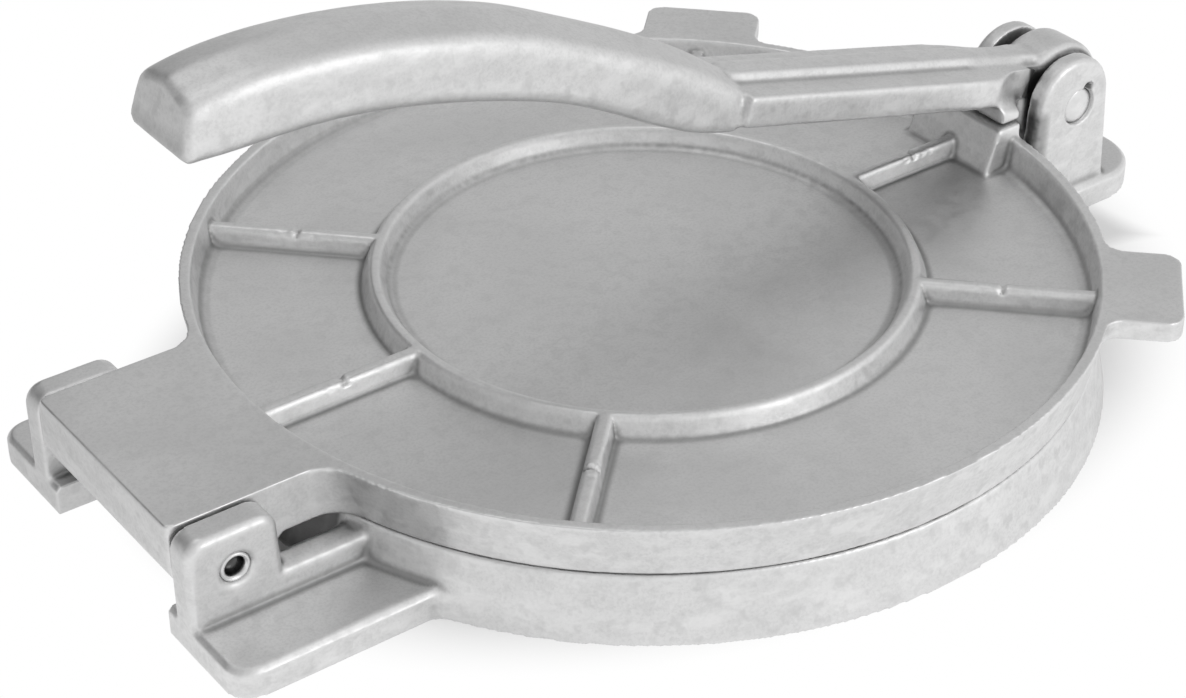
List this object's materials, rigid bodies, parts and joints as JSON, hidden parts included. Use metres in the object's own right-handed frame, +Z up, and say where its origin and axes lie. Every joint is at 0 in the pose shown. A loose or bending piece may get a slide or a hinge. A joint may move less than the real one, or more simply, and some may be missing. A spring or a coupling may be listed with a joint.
{
  "type": "tortilla press",
  "caption": "Round hinged hand press of cast aluminium: a ribbed upper plate swings onto a flat base plate and a curved lever in a clevis presses it shut.",
  "frame": {"origin": "middle of the footprint's bounding box, on the plane that the press stands on; the plates' centre is 6.05 mm towards the hinge from it", "axes": "+X from the hinge towards the lever's clevis, +Z up from the table"},
  "size_m": [0.2752, 0.2016, 0.1052],
  "materials": {
    "cast_aluminium": "satin as-cast, tumbled",
    "pin_steel": "bright drawn"
  },
  "bodies": {
    "base": {"base_plate": "cast_aluminium", "hinge_pin": "pin_steel", "lever_pin": "pin_steel"},
    "lid": {"upper_plate": "cast_aluminium"},
    "lever": {"lever": "cast_aluminium"}
  },
  "joints": [
    {"name": "lever_pivot", "type": "hinge", "parent": "base", "child": "lever", "pos_m": [0.11255, 0, 0.0282], "axis": [0, 1, 0], "range_deg": [0, 160]},
    {"name": "lid_hinge", "type": "hinge", "parent": "base", "child": "lid", "pos_m": [-0.12725, 0, 0.0174], "axis": [0, -1, 0], "range_deg": [0, 90]}
  ],
  "couplings": [
    {"joint": "lid_hinge", "follows": "lever_pivot", "ratio": 0.07}
  ]
}
